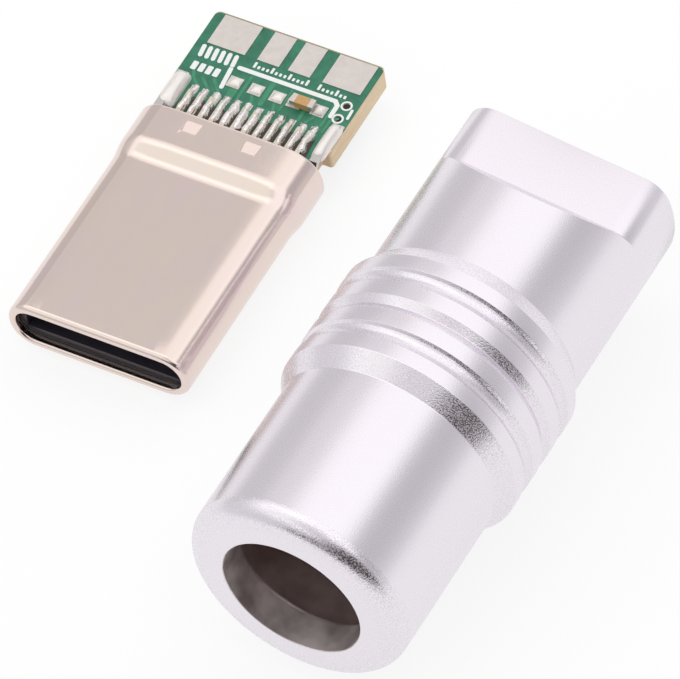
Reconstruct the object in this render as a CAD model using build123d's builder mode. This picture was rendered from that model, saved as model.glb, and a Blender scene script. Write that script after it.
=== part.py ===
"""Solder-type USB-C plug, shown apart: the plug on its circuit board beside its turned housing.

Both lie side by side on a flat surface at z = 0, with their axes along Y. The plug's mouth
points to -Y and its board to +Y. The housing's cable hole points to -Y too. The origin is
under the middle of the pair. All sizes are in millimetres.
"""

import os
from math import cos, hypot, radians, sin, tan

from build123d import *

os.makedirs("parts", exist_ok=True)

# Plug shell: a drawn steel tube with a wider, thicker hood at its back
shell_width = 8.25
shell_height = 2.40
shell_corner = 1.15
shell_wall = 0.28
shell_length = 11.25
hood_width = 8.40
hood_height = 3.10
hood_corner = 1.42
ramp_start = 8.70
ramp_length = 0.65
ramp_blend = 0.35
lip_depth = 0.35
lip_overhang = 0.10
lip_round = 0.24
stake_spacing = 2.70
stake_width = 0.80
stake_length = 0.74
stake_depth = 0.18
stake_from_back = 0.28

# Clearances between pieces that fit into one another
moulded_gap = 0.03
slip_gap = 0.02
housing_gap = 0.05

# Circuit board
board_width = 7.80
board_length = 5.50
board_thickness = 1.00
board_from_shell = 0.45
board_corner = 0.15
copper = 0.05
via_radius = 0.15
via_places = [(-1.23, 1.83), (3.38, 3.09), (3.36, 2.36)]

# Contacts: two rows of stamped strips, whose tails lie on the board's two faces
contact_count = 12
contact_pitch = 0.50
contact_width = 0.22
contact_thickness = 0.15
contact_tip = 2.55
contact_tip_lift = 0.10
contact_point = 2.90
contact_dip = 0.24
contact_arm_start = 3.70
tail_on_board = 1.25

# Front insulator and its cavity for the socket's tongue
insulator_setback = 0.45
insulator_end = 8.55
cavity_width = 6.95
cavity_height = 0.95
cavity_end = 6.20
contact_slot_width = 0.32
contact_slot_start = 2.45
contact_slot_play = 0.06
carrier_wall = 0.11

# Contact carriers behind the front insulator
carrier_width = 6.40
carrier_start = 6.30
carrier_neck_play = 0.07
carrier_setback = 0.15

# Latch plate between the two rows, with two side arms and two soldered legs
latch_thickness = 0.20
latch_plate_setback = 0.20
latch_arm_width = 0.24
latch_arm_inner = 3.42
latch_arm_start = 1.60
latch_arm_root = 8.80
latch_hook = 0.30
latch_hook_length = 0.45
latch_channel_gap = 0.06
latch_channel_start = 1.20
leg_width = 0.36
leg_straight = 0.08
leg_to_board = 0.10
leg_on_board = 1.90

# Grounding springs on the insulator's upper and lower faces
spring_width = 5.60
spring_start = 0.95
spring_length = 1.30
spring_thickness = 0.12
spring_frame = 0.22
finger_count = 3
finger_spacing = 1.85
finger_width = 0.90
finger_play = 0.06
finger_reach = 0.06

# Pads on the board
pad_shift = 0.08
contact_pad_width = 0.30
contact_pad_inset = 0.20
contact_pad_length = 1.40
wire_pad_length = 1.60
wire_pad_margin = 0.10
outer_pad_width = 1.74
inner_pad_width = 1.00
pad_gap = 0.58
middle_gap = 0.42
chip_pad_width = 0.60
chip_pad_length = 0.56
chip_row_inset = 2.38
chip_pad_places = [-1.38, -0.40, 0.58]
leg_pad_width = 0.56
leg_pad_inset = 0.15
leg_pad_length = 1.95

# Solder at the tails' ends and over the legs
tail_solder_length = 0.28
tail_solder_height = 0.12
tail_solder_width = 0.26
leg_solder_inset = 0.17
leg_solder_length = 1.90
leg_solder_width = 0.54
leg_solder_height = 0.30

# Ceramic capacitor, set a little to one side on its two pads
capacitor_length = 1.04
capacitor_width = 0.44
capacitor_height = 0.32
capacitor_cap = 0.22
capacitor_x = 1.76
capacitor_inset = 2.42
capacitor_pads_x = 1.92
capacitor_pad_spacing = 1.10
capacitor_pad_length = 0.62
capacitor_pad_width = 0.58

# Housing: turned from bar, with a gripping band and a flattened plug end
housing_length = 22.45
barrel_radius = 4.70
rim_round = 0.90
band_radius = 5.165
band_middle = 10.87
band_length = 6.45
shoulder_length = 0.80
groove_pitch = 1.42
groove_width = 0.72
groove_floor_width = 0.40
groove_depth = 0.20
flat_half_height = 2.50
flat_length = 2.85
flat_ramp_angle = 54.0
flat_corner = 1.20
flat_ramp_spare = 0.05
cable_hole_radius = 2.98
cable_lip = 1.65
cable_lip_round = 0.40
chamber_radius = 4.05
socket_depth = 5.15
socket_chamfer = 0.12

# Where the housing lies beside the plug
housing_offset_x = 14.62
housing_lead = 9.73
housing_turn = -0.94
housing_roll = 8.0

# Places worked out from the sizes above
board_start = shell_length + board_from_shell
board_end = board_start + board_length
band_reach = band_radius + (band_length - shoulder_length) / 2 * sin(radians(abs(housing_turn)))
front_reach = (barrel_radius - rim_round) * sin(radians(abs(housing_turn)))
plug_x = -(housing_offset_x + band_reach - hood_width / 2) / 2
housing_x = plug_x + housing_offset_x
front_y = (front_reach - housing_lead - board_end) / 2
mouth_y = front_y + housing_lead
plug_z = hood_height / 2
stake_end = shell_length - stake_from_back
ramp_end = ramp_start + ramp_length
board_top = board_thickness / 2
pad_top = board_top + copper
contact_height = pad_top + contact_thickness / 2
inner_width = shell_width - 2 * shell_wall
inner_height = shell_height - 2 * shell_wall
inner_corner = shell_corner - shell_wall
hood_inner_width = hood_width - 2 * shell_wall
hood_inner_height = hood_height - 2 * shell_wall
hood_inner_corner = hood_corner - shell_wall
insulator_width = inner_width - 2 * moulded_gap
insulator_height = inner_height - 2 * moulded_gap
insulator_corner = inner_corner - moulded_gap
pocket_height = insulator_height - 2 * carrier_wall
spring_recess = spring_thickness + slip_gap
contact_places = [(n - (contact_count - 1) / 2) * contact_pitch for n in range(contact_count)]
finger_places = [(n - (finger_count - 1) / 2) * finger_spacing for n in range(finger_count)]
contact_slot_top = contact_height + contact_thickness / 2 + contact_slot_play
carrier_end = shell_length - carrier_setback
carrier_neck_end = ramp_end + carrier_neck_play
carrier_floor = latch_thickness / 2
tail_end = board_start + tail_on_board
latch_plate_back = carrier_end - latch_plate_setback
leg_bend_start = carrier_end + leg_straight
leg_bend_end = board_start - leg_to_board
leg_end = board_start + leg_on_board
leg_solder_start = board_start + leg_solder_inset
leg_solder_end = leg_solder_start + leg_solder_length
leg_solder_top = pad_top + leg_solder_height
latch_arm_outer = latch_arm_inner + latch_arm_width
leg_middle = latch_arm_inner + leg_width / 2
leg_height = pad_top + latch_thickness / 2
inner_pad_x = (middle_gap + inner_pad_width) / 2
outer_pad_x = middle_gap / 2 + inner_pad_width + pad_gap + outer_pad_width / 2
wire_pad_y = board_end - wire_pad_margin - wire_pad_length / 2
capacitor_y = board_start + capacitor_inset


def across(y):
    """Plane square to the plug's axis, y behind the mouth: it faces the board, local y is up."""
    return Plane(origin=(plug_x, mouth_y + y, plug_z), x_dir=(-1, 0, 0), z_dir=(0, 1, 0))


def level(z):
    """Horizontal plane through the plug at height z above its axis, with its origin at the mouth."""
    return Plane(origin=(plug_x, mouth_y, plug_z + z))


def upright(x):
    """Lengthwise upright plane at x: local x runs from the mouth to the board, local y is up."""
    return Plane(origin=(plug_x + x, mouth_y, plug_z), x_dir=(0, 1, 0), z_dir=(1, 0, 0))


def strip(points, thickness):
    """Outline of a bent strip: its middle line moved half the thickness to both sides."""
    upper, lower = [], []
    for i, (y, z) in enumerate(points):
        before = points[max(i - 1, 0)]
        after = points[min(i + 1, len(points) - 1)]
        run_y, run_z = 0, 0
        for start, stop in ((before, (y, z)), ((y, z), after)):
            length = hypot(stop[0] - start[0], stop[1] - start[1])
            if length:
                run_y += (stop[0] - start[0]) / length
                run_z += (stop[1] - start[1]) / length
        size = hypot(run_y, run_z)
        bends = 0 < i < len(points) - 1
        half = thickness / size if bends else thickness / 2
        upper.append((y - run_z / size * half, z + run_y / size * half))
        lower.append((y + run_z / size * half, z - run_y / size * half))
    return upper + lower[::-1]


# Plug shell
with BuildPart() as plug_shell:
    with BuildSketch(across(0)):
        RectangleRounded(shell_width, shell_height, shell_corner)
    extrude(amount=ramp_start)
    with BuildSketch(across(ramp_start)):
        RectangleRounded(shell_width, shell_height, shell_corner)
    with BuildSketch(across(ramp_end)):
        RectangleRounded(hood_width, hood_height, hood_corner)
    loft(ruled=True)
    with BuildSketch(across(ramp_end)):
        RectangleRounded(hood_width, hood_height, hood_corner)
    extrude(amount=shell_length - ramp_end)
    mouth_edges = plug_shell.edges().filter_by_position(Axis.Y, mouth_y, mouth_y)
    fillet(mouth_edges, radius=lip_round)
    for y in (ramp_start, ramp_end):
        ring_edges = plug_shell.edges().filter_by_position(Axis.Y, mouth_y + y, mouth_y + y)
        fillet(ring_edges, radius=ramp_blend)
    with BuildSketch(across(0)):
        RectangleRounded(
            inner_width - 2 * lip_overhang, inner_height - 2 * lip_overhang, inner_corner - lip_overhang
        )
    extrude(amount=lip_depth, mode=Mode.SUBTRACT)
    with BuildSketch(across(lip_depth)):
        RectangleRounded(inner_width, inner_height, inner_corner)
    extrude(amount=ramp_start - lip_depth, mode=Mode.SUBTRACT)
    with BuildSketch(across(ramp_start)):
        RectangleRounded(inner_width, inner_height, inner_corner)
    with BuildSketch(across(ramp_end)):
        RectangleRounded(hood_inner_width, hood_inner_height, hood_inner_corner)
    loft(ruled=True, mode=Mode.SUBTRACT)
    with BuildSketch(across(ramp_end)):
        RectangleRounded(hood_inner_width, hood_inner_height, hood_inner_corner)
    extrude(amount=shell_length - ramp_end, mode=Mode.SUBTRACT)
    # stakes pressed into the hood's upper and lower faces, deepest at their front ends
    for side in (1, -1):
        for x in (stake_spacing / 2, -stake_spacing / 2):
            with BuildSketch(upright(x)):
                with BuildLine():
                    Polyline(
                        (stake_end - stake_length, side * hood_height / 2),
                        (stake_end, side * hood_height / 2),
                        (stake_end - stake_length, side * (hood_height / 2 - stake_depth)),
                        close=True,
                    )
                make_face()
            extrude(amount=stake_width / 2, both=True, mode=Mode.SUBTRACT)
plug_shell.part.label = "plug_shell"
export_step(plug_shell.part, "parts/plug_shell.step")

# Front insulator: the moulding that guides the socket's tongue and spaces the contacts
with BuildPart() as front_insulator:
    with BuildSketch(across(insulator_setback)):
        RectangleRounded(insulator_width, insulator_height, insulator_corner)
    extrude(amount=insulator_end - insulator_setback)
    with BuildSketch(across(insulator_setback)):
        Rectangle(cavity_width, cavity_height)
    extrude(amount=cavity_end - insulator_setback, mode=Mode.SUBTRACT)
    with BuildSketch(across(cavity_end)):
        Rectangle(carrier_width + 2 * slip_gap, pocket_height)
    extrude(amount=insulator_end - cavity_end, mode=Mode.SUBTRACT)
    # channels for the latch arms, open to both sides
    for side in (1, -1):
        with BuildSketch(level(-latch_thickness / 2 - latch_channel_gap)):
            with Locations((side * (latch_arm_inner - latch_channel_gap), latch_channel_start)):
                Rectangle(
                    shell_width / 2,
                    insulator_end - latch_channel_start,
                    align=(Align.MIN if side > 0 else Align.MAX, Align.MIN),
                )
        extrude(amount=latch_thickness + 2 * latch_channel_gap, mode=Mode.SUBTRACT)
    # slots for the contacts, and the recess and windows of each grounding spring
    for side in (1, -1):
        with BuildSketch(level(side * cavity_height / 2)):
            with Locations((0, contact_slot_start)):
                with GridLocations(contact_pitch, 0, contact_count, 1):
                    Rectangle(
                        contact_slot_width, cavity_end - contact_slot_start, align=(Align.CENTER, Align.MIN)
                    )
        extrude(amount=side * (contact_slot_top - cavity_height / 2), mode=Mode.SUBTRACT)
        with BuildSketch(level(side * insulator_height / 2)):
            with Locations((0, spring_start + spring_length / 2)):
                Rectangle(spring_width + 2 * slip_gap, spring_length + 2 * slip_gap)
        extrude(amount=-side * spring_recess, mode=Mode.SUBTRACT)
        with BuildSketch(level(side * insulator_height / 2)):
            with Locations((0, spring_start + spring_length / 2)):
                with GridLocations(finger_spacing, 0, finger_count, 1):
                    Rectangle(finger_width + 2 * finger_play, spring_length - 2 * spring_frame)
        extrude(amount=-side * insulator_height / 2, mode=Mode.SUBTRACT)
front_insulator.part.label = "front_insulator"
export_step(front_insulator.part, "parts/front_insulator.step")

# Contact carriers: two mouldings that grip the upper and the lower row
for name, side in (("upper_contact_carrier", 1), ("lower_contact_carrier", -1)):
    with BuildPart() as contact_carrier:
        with BuildSketch(level(side * carrier_floor)):
            with Locations((0, carrier_start)):
                Rectangle(
                    carrier_width, carrier_neck_end - carrier_start, align=(Align.CENTER, Align.MIN)
                )
        extrude(amount=side * (pocket_height / 2 - slip_gap - carrier_floor))
        with BuildSketch(across(carrier_neck_end)):
            RectangleRounded(
                hood_inner_width - 2 * moulded_gap,
                hood_inner_height - 2 * moulded_gap,
                hood_inner_corner - moulded_gap,
            )
            with Locations((0, side * carrier_floor)):
                Rectangle(
                    hood_width,
                    hood_height,
                    align=(Align.CENTER, Align.MAX if side > 0 else Align.MIN),
                    mode=Mode.SUBTRACT,
                )
        extrude(amount=carrier_end - carrier_neck_end)
        with BuildSketch(across(carrier_start)):
            with Locations((0, side * contact_height)):
                with GridLocations(contact_pitch, 0, contact_count, 1):
                    Rectangle(contact_width + 2 * slip_gap, contact_thickness + 2 * slip_gap)
        extrude(amount=carrier_end - carrier_start, mode=Mode.SUBTRACT)
    contact_carrier.part.label = name
    export_step(contact_carrier.part, f"parts/{name}.step")

# Contacts: row a above and row b below, numbered from opposite sides as on the real plug
for row, side in (("a", 1), ("b", -1)):
    contact_line = [
        (contact_tip, side * (contact_height - contact_tip_lift)),
        (contact_point, side * (contact_height - contact_dip)),
        (contact_arm_start, side * contact_height),
        (tail_end, side * contact_height),
    ]
    for n, x in enumerate(contact_places[::-side]):
        with BuildPart() as contact:
            with BuildSketch(upright(x)):
                with BuildLine():
                    Polyline(*strip(contact_line, contact_thickness), close=True)
                make_face()
            extrude(amount=contact_width / 2, both=True)
        contact.part.label = f"contact_{row}{n + 1:02d}"
        export_step(contact.part, f"parts/contact_{row}{n + 1:02d}.step")

# Latch plate: shield between the rows, with hooked side arms and two legs on the board
with BuildPart() as latch_plate:
    with BuildSketch(level(-latch_thickness / 2)):
        with Locations((0, carrier_start)):
            Rectangle(carrier_width, latch_plate_back - carrier_start, align=(Align.CENTER, Align.MIN))
        with Locations((0, latch_arm_root)):
            Rectangle(
                2 * latch_arm_outer, latch_plate_back - latch_arm_root, align=(Align.CENTER, Align.MIN)
            )
        for side in (1, -1):
            outwards = Align.MIN if side > 0 else Align.MAX
            with Locations((side * latch_arm_inner, latch_arm_start)):
                Rectangle(latch_arm_width, latch_arm_root - latch_arm_start, align=(outwards, Align.MIN))
            with Locations((side * (latch_arm_inner - latch_hook), latch_arm_start)):
                Rectangle(latch_hook, latch_hook_length, align=(outwards, Align.MIN))
    extrude(amount=latch_thickness)
    leg_line = [
        (latch_plate_back - latch_thickness, 0),
        (leg_bend_start, 0),
        (leg_bend_end, leg_height),
        (leg_end, leg_height),
    ]
    for side in (1, -1):
        with BuildSketch(upright(side * leg_middle)):
            with BuildLine():
                Polyline(*strip(leg_line, latch_thickness), close=True)
            make_face()
        extrude(amount=leg_width / 2, both=True)
latch_plate.part.label = "latch_plate"
export_step(latch_plate.part, "parts/latch_plate.step")

# Grounding springs: a thin frame in the insulator's recess, with fingers bent into the cavity
for name, side in (("upper_grounding_spring", 1), ("lower_grounding_spring", -1)):
    spring_height = side * (insulator_height / 2 - spring_recess + spring_thickness / 2)
    window_start = spring_start + spring_frame
    window_end = spring_start + spring_length - spring_frame
    finger_line = [
        (window_start - spring_thickness / 2, spring_height),
        (window_start + spring_thickness / 2, spring_height),
        (window_end - 2 * spring_thickness, side * (cavity_height / 2 - finger_reach)),
        (window_end - spring_thickness, side * (cavity_height / 2)),
    ]
    with BuildPart() as grounding_spring:
        with BuildSketch(level(spring_height)):
            with Locations((0, spring_start + spring_length / 2)):
                Rectangle(spring_width, spring_length)
                with GridLocations(finger_spacing, 0, finger_count, 1):
                    Rectangle(
                        finger_width + 2 * finger_play,
                        spring_length - 2 * spring_frame,
                        mode=Mode.SUBTRACT,
                    )
        extrude(amount=spring_thickness / 2, both=True)
        for x in finger_places:
            with BuildSketch(upright(x)):
                with BuildLine():
                    Polyline(*strip(finger_line, spring_thickness), close=True)
                make_face()
            extrude(amount=finger_width / 2, both=True)
    grounding_spring.part.label = name
    export_step(grounding_spring.part, f"parts/{name}.step")

# Circuit board, with plated vias between its two faces
with BuildPart() as circuit_board:
    with BuildSketch(level(-board_thickness / 2)):
        with Locations((0, board_start + board_length / 2)):
            RectangleRounded(board_width, board_length, board_corner)
        with Locations([(x, board_start + inset) for x, inset in via_places]):
            Circle(via_radius, mode=Mode.SUBTRACT)
    extrude(amount=board_thickness)
circuit_board.part.label = "circuit_board"
export_step(circuit_board.part, "parts/circuit_board.step")

# Contact pads and wire pads on both faces of the board, and solder at the ends of the tails
for face, side in (("top", 1), ("bottom", -1)):
    with BuildPart() as contact_pads:
        with BuildSketch(level(side * board_top)):
            with Locations((0, board_start + contact_pad_inset)):
                with GridLocations(contact_pitch, 0, contact_count, 1):
                    Rectangle(contact_pad_width, contact_pad_length, align=(Align.CENTER, Align.MIN))
        extrude(amount=side * copper)
    contact_pads.part.label = f"contact_pads_{face}"
    export_step(contact_pads.part, f"parts/contact_pads_{face}.step")

    with BuildPart() as wire_pads:
        with BuildSketch(level(side * board_top)):
            with Locations((pad_shift, wire_pad_y)):
                with GridLocations(2 * inner_pad_x, 0, 2, 1):
                    Rectangle(inner_pad_width, wire_pad_length)
                with GridLocations(2 * outer_pad_x, 0, 2, 1):
                    Rectangle(outer_pad_width, wire_pad_length)
        extrude(amount=side * copper)
    wire_pads.part.label = f"wire_pads_{face}"
    export_step(wire_pads.part, f"parts/wire_pads_{face}.step")

    with BuildPart() as tail_solder:
        for x in contact_places:
            with BuildSketch(upright(x)):
                with BuildLine():
                    Polyline(
                        (tail_end, side * pad_top),
                        (tail_end + tail_solder_length, side * pad_top),
                        (tail_end, side * (pad_top + tail_solder_height)),
                        close=True,
                    )
                make_face()
            extrude(amount=tail_solder_width / 2, both=True)
    tail_solder.part.label = f"tail_solder_{face}"
    export_step(tail_solder.part, f"parts/tail_solder_{face}.step")

# Pads for the legs, the small chip parts and the capacitor, on the upper face
with BuildPart() as leg_pads:
    with BuildSketch(level(board_top)):
        with Locations((0, board_start + leg_pad_inset)):
            with GridLocations(2 * leg_middle, 0, 2, 1):
                Rectangle(leg_pad_width, leg_pad_length, align=(Align.CENTER, Align.MIN))
    extrude(amount=copper)
leg_pads.part.label = "leg_pads"
export_step(leg_pads.part, "parts/leg_pads.step")

with BuildPart() as chip_pads:
    with BuildSketch(level(board_top)):
        with Locations([(x, board_start + chip_row_inset) for x in chip_pad_places]):
            Rectangle(chip_pad_width, chip_pad_length)
        with Locations((capacitor_pads_x, capacitor_y)):
            with GridLocations(capacitor_pad_spacing, 0, 2, 1):
                Rectangle(capacitor_pad_length, capacitor_pad_width)
    extrude(amount=copper)
chip_pads.part.label = "chip_pads"
export_step(chip_pads.part, "parts/chip_pads.step")

# Solder over the legs: a rounded bead on each pad, which the leg runs into
with BuildPart() as leg_solder:
    for side in (1, -1):
        bead_middle = -side * leg_middle
        with BuildSketch(across(leg_solder_start)):
            with BuildLine():
                bead_arch = ThreePointArc(
                    (bead_middle - leg_solder_width / 2, pad_top),
                    (bead_middle, leg_solder_top),
                    (bead_middle + leg_solder_width / 2, pad_top),
                )
                Line(bead_arch @ 1, bead_arch @ 0)
            make_face()
        extrude(amount=leg_solder_length)
    with BuildSketch(upright(0)):
        with BuildLine():
            side_arch = ThreePointArc(
                (leg_solder_start, pad_top),
                ((leg_solder_start + leg_solder_end) / 2, leg_solder_top),
                (leg_solder_end, pad_top),
            )
            Line(side_arch @ 1, side_arch @ 0)
        make_face()
    extrude(amount=board_width / 2, both=True, mode=Mode.INTERSECT)
    for side in (1, -1):
        with BuildSketch(upright(side * leg_middle)):
            with BuildLine():
                Polyline(*strip(leg_line, latch_thickness), close=True)
            make_face()
        extrude(amount=leg_width / 2, both=True, mode=Mode.SUBTRACT)
leg_solder.part.label = "leg_solder"
export_step(leg_solder.part, "parts/leg_solder.step")

# Ceramic capacitor: a block between two metal end caps
with BuildPart() as capacitor_body:
    with BuildSketch(level(pad_top)):
        with Locations((capacitor_x, capacitor_y)):
            Rectangle(capacitor_length - 2 * capacitor_cap, capacitor_width)
    extrude(amount=capacitor_height)
capacitor_body.part.label = "capacitor_body"
export_step(capacitor_body.part, "parts/capacitor_body.step")

with BuildPart() as capacitor_caps:
    with BuildSketch(level(pad_top)):
        with Locations((capacitor_x, capacitor_y)):
            with GridLocations(capacitor_length - capacitor_cap, 0, 2, 1):
                Rectangle(capacitor_cap, capacitor_width)
    extrude(amount=capacitor_height)
capacitor_caps.part.label = "capacitor_caps"
export_step(capacitor_caps.part, "parts/capacitor_caps.step")

# Housing: its axis starts at the front face and leans slightly away from Y
axis_direction = (-sin(radians(housing_turn)), cos(radians(housing_turn)), 0)
front_middle = (
    housing_x - axis_direction[0] * band_middle,
    front_y,
    band_radius,
)


def housing_across(y):
    """Plane square to the housing's axis, y behind its front face, turned with the flats."""
    level_part = cos(radians(housing_roll))
    return Plane(
        origin=tuple(front_middle[i] + axis_direction[i] * y for i in range(3)),
        x_dir=(
            -axis_direction[1] * level_part,
            axis_direction[0] * level_part,
            sin(radians(housing_roll)),
        ),
        z_dir=axis_direction,
    )


lengthwise = Plane(origin=front_middle, x_dir=axis_direction, z_dir=(0, 0, 1))
housing_axis = Axis(front_middle, axis_direction)
band_start = band_middle - (band_length - shoulder_length) / 2
band_stop = band_middle + (band_length - shoulder_length) / 2
flat_start = housing_length - flat_length
ramp_reach = (barrel_radius - flat_half_height) / tan(radians(flat_ramp_angle)) + flat_ramp_spare
turned_end = flat_start - ramp_reach
socket_start = housing_length - socket_depth

# The plug end of the housing, with two milled flats that ramp up to the turned barrel
with BuildPart() as flat_end:
    with BuildSketch(housing_across(flat_start)) as flat_outline:
        Circle(barrel_radius)
        Rectangle(2 * barrel_radius, 2 * flat_half_height, mode=Mode.INTERSECT)
        fillet(flat_outline.vertices(), flat_corner)
    extrude(amount=-ramp_reach, taper=-flat_ramp_angle)
    with BuildSketch(housing_across(flat_start)):
        Circle(barrel_radius)
    extrude(amount=-ramp_reach, mode=Mode.INTERSECT)
    with BuildSketch(housing_across(flat_start)) as flat_outline:
        Circle(barrel_radius)
        Rectangle(2 * barrel_radius, 2 * flat_half_height, mode=Mode.INTERSECT)
        fillet(flat_outline.vertices(), flat_corner)
    extrude(amount=flat_length)

with BuildPart() as housing:
    rim_turn = rim_round * (1 - cos(radians(45)))
    first_groove = band_middle - groove_pitch
    last_groove = band_middle + groove_pitch
    groove_half = groove_width / 2
    floor_half = groove_floor_width / 2
    groove_floor = band_radius - groove_depth
    with BuildSketch(lengthwise):
        with BuildLine():
            Polyline((turned_end, 0), (0, 0), (0, barrel_radius - rim_round))
            ThreePointArc(
                (0, barrel_radius - rim_round),
                (rim_turn, barrel_radius - rim_turn),
                (rim_round, barrel_radius),
            )
            Polyline(
                (rim_round, barrel_radius),
                (band_start - shoulder_length, barrel_radius),
                (band_start, band_radius),
                (first_groove - groove_half, band_radius),
                (first_groove - floor_half, groove_floor),
                (first_groove + floor_half, groove_floor),
                (first_groove + groove_half, band_radius),
                (band_middle - groove_half, band_radius),
                (band_middle, groove_floor),
                (band_middle + groove_half, band_radius),
                (last_groove - groove_half, band_radius),
                (last_groove - floor_half, groove_floor),
                (last_groove + floor_half, groove_floor),
                (last_groove + groove_half, band_radius),
                (band_stop, band_radius),
                (band_stop + shoulder_length, barrel_radius),
                (turned_end, barrel_radius),
                (turned_end, 0),
            )
        make_face()
    revolve(axis=housing_axis)
    add(flat_end.part)
    # cable hole, with its inner edge rounded, and the wire chamber behind it
    lip_turn = cable_lip_round * (1 - cos(radians(45)))
    with BuildSketch(lengthwise):
        with BuildLine():
            Polyline((0, 0), (0, cable_hole_radius), (cable_lip - cable_lip_round, cable_hole_radius))
            ThreePointArc(
                (cable_lip - cable_lip_round, cable_hole_radius),
                (cable_lip - lip_turn, cable_hole_radius + lip_turn),
                (cable_lip, cable_hole_radius + cable_lip_round),
            )
            Polyline(
                (cable_lip, cable_hole_radius + cable_lip_round),
                (cable_lip, chamber_radius),
                (socket_start, chamber_radius),
                (socket_start, 0),
                (0, 0),
            )
        make_face()
    revolve(axis=housing_axis, mode=Mode.SUBTRACT)
    with BuildSketch(housing_across(socket_start)):
        RectangleRounded(
            hood_width + 2 * housing_gap, hood_height + 2 * housing_gap, hood_corner + housing_gap
        )
    extrude(amount=socket_depth, mode=Mode.SUBTRACT)
    plug_end = housing.faces().sort_by(housing_axis)[-1]
    chamfer(plug_end.inner_wires()[0].edges(), socket_chamfer)
housing.part.label = "housing"
export_step(housing.part, "parts/housing.step")
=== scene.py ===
"""Looks of a flat reversible data plug on its board, lying beside its turned aluminium housing.

Sizes are in millimetres in the plug's or the housing's own frame, and become metres in the row
frame when a mesh is made. The plug's frame starts in the middle of its mouth, y towards the
board. The housing's starts in the middle of its front face, y along its axis.
"""

from math import cos, pi, radians, sin, sqrt, tan

import bpy
import numpy as np
from mathutils import Matrix, Vector


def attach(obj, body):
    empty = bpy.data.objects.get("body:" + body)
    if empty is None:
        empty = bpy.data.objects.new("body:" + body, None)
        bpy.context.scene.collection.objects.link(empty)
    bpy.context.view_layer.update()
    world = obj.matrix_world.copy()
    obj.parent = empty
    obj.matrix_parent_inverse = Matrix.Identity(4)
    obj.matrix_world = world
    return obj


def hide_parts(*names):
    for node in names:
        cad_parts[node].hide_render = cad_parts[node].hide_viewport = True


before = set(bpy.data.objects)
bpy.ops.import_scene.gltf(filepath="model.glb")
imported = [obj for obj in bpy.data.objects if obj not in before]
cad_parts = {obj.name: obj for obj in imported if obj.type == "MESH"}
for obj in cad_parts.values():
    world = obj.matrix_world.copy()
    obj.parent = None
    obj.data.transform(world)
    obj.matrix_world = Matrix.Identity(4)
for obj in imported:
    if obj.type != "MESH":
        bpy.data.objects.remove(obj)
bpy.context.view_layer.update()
MM = 0.001

# Camera: a long lens from the right front, high up and turned a little, as a product is shot
# on a table. Its distance and turn come from the outlines of both pieces in the photograph.
camera_azimuth = radians(35.31390977)
camera_elevation = radians(51.12831565)
camera_turn = radians(-9.12530954)
camera_distance = 339.9
camera_target = Vector((0.0059, 1.7846, 0.0))
focal_pixels = 8576
photo_pixels = 680
sensor_width = 36


def direction(azimuth, elevation):
    """Unit vector towards these angles in radians, with azimuth 0 straight in front."""
    return Vector((sin(azimuth) * cos(elevation), -cos(azimuth) * cos(elevation), sin(elevation)))


camera_back = direction(camera_azimuth, camera_elevation)
level_right = Vector((cos(camera_azimuth), sin(camera_azimuth), 0))
level_up = camera_back.cross(level_right)
camera_right = cos(camera_turn) * level_right + sin(camera_turn) * level_up
camera_up = -sin(camera_turn) * level_right + cos(camera_turn) * level_up
camera_axes = Matrix((camera_right, camera_up, camera_back)).transposed().to_4x4()
camera_place = (camera_target + camera_back * camera_distance) * MM
camera_data = bpy.data.cameras.new("camera")
camera_data.sensor_width = sensor_width
camera_data.lens = focal_pixels / photo_pixels * sensor_width
camera_data.clip_start = 0.01
camera_data.clip_end = 20
camera = bpy.data.objects.new("camera", camera_data)
camera.matrix_world = Matrix.Translation(camera_place) @ camera_axes
bpy.context.collection.objects.link(camera)
bpy.context.scene.camera = camera

# Housing: one piece turned from aluminium bar, with a raised gripping band of three grooves, a
# bored cable hole at the front and two milled flats at the plug end. It is blasted with fine grit
# and anodised silver, which gives a pale satin skin with a soft grain.
housing_origin = Vector((6.6260, -13.4338, 5.165))
housing_turn = radians(0.94)
housing_axis = Vector((sin(housing_turn), cos(housing_turn), 0))
housing_right = Vector((cos(housing_turn), -sin(housing_turn), 0))
housing_length = 22.45
barrel_radius, band_radius = 4.70, 5.165
rim_width, rim_round = 0.90, 0.88
front_shoulder, rear_shoulder = (7.645, 8.445), (13.295, 14.095)
shoulder_round, band_round = 0.10, 0.08
grooves = ((9.45, "round"), (10.87, "vee"), (12.29, "round"))
groove_half, groove_depth = 0.36, 0.20
groove_edge_round, vee_edge_round, vee_floor_round = 0.02, 0.03, 0.05
groove_steps, groove_power = 8, 1.2
turned_end = 17.60
flat_start, flat_roll = 19.60, radians(8)
flat_half, flat_corner = 2.50, 1.20
flat_slope = tan(radians(54))
crease_round, end_round = 0.05, 0.05
hole_radius, hole_edge = 2.98, 0.03
collar_end, collar_round = 1.65, 0.40
chamber_radius, chamber_round = 4.05, 0.10
socket_start, socket_chamfer = 17.30, 0.12
socket_half_width, socket_half_height, socket_corner = 4.25, 1.60, 1.47
around = 360
angles = np.arange(around) * 2 * pi / around
across, up = np.abs(np.cos(angles + flat_roll)), np.abs(np.sin(angles + flat_roll))


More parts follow.
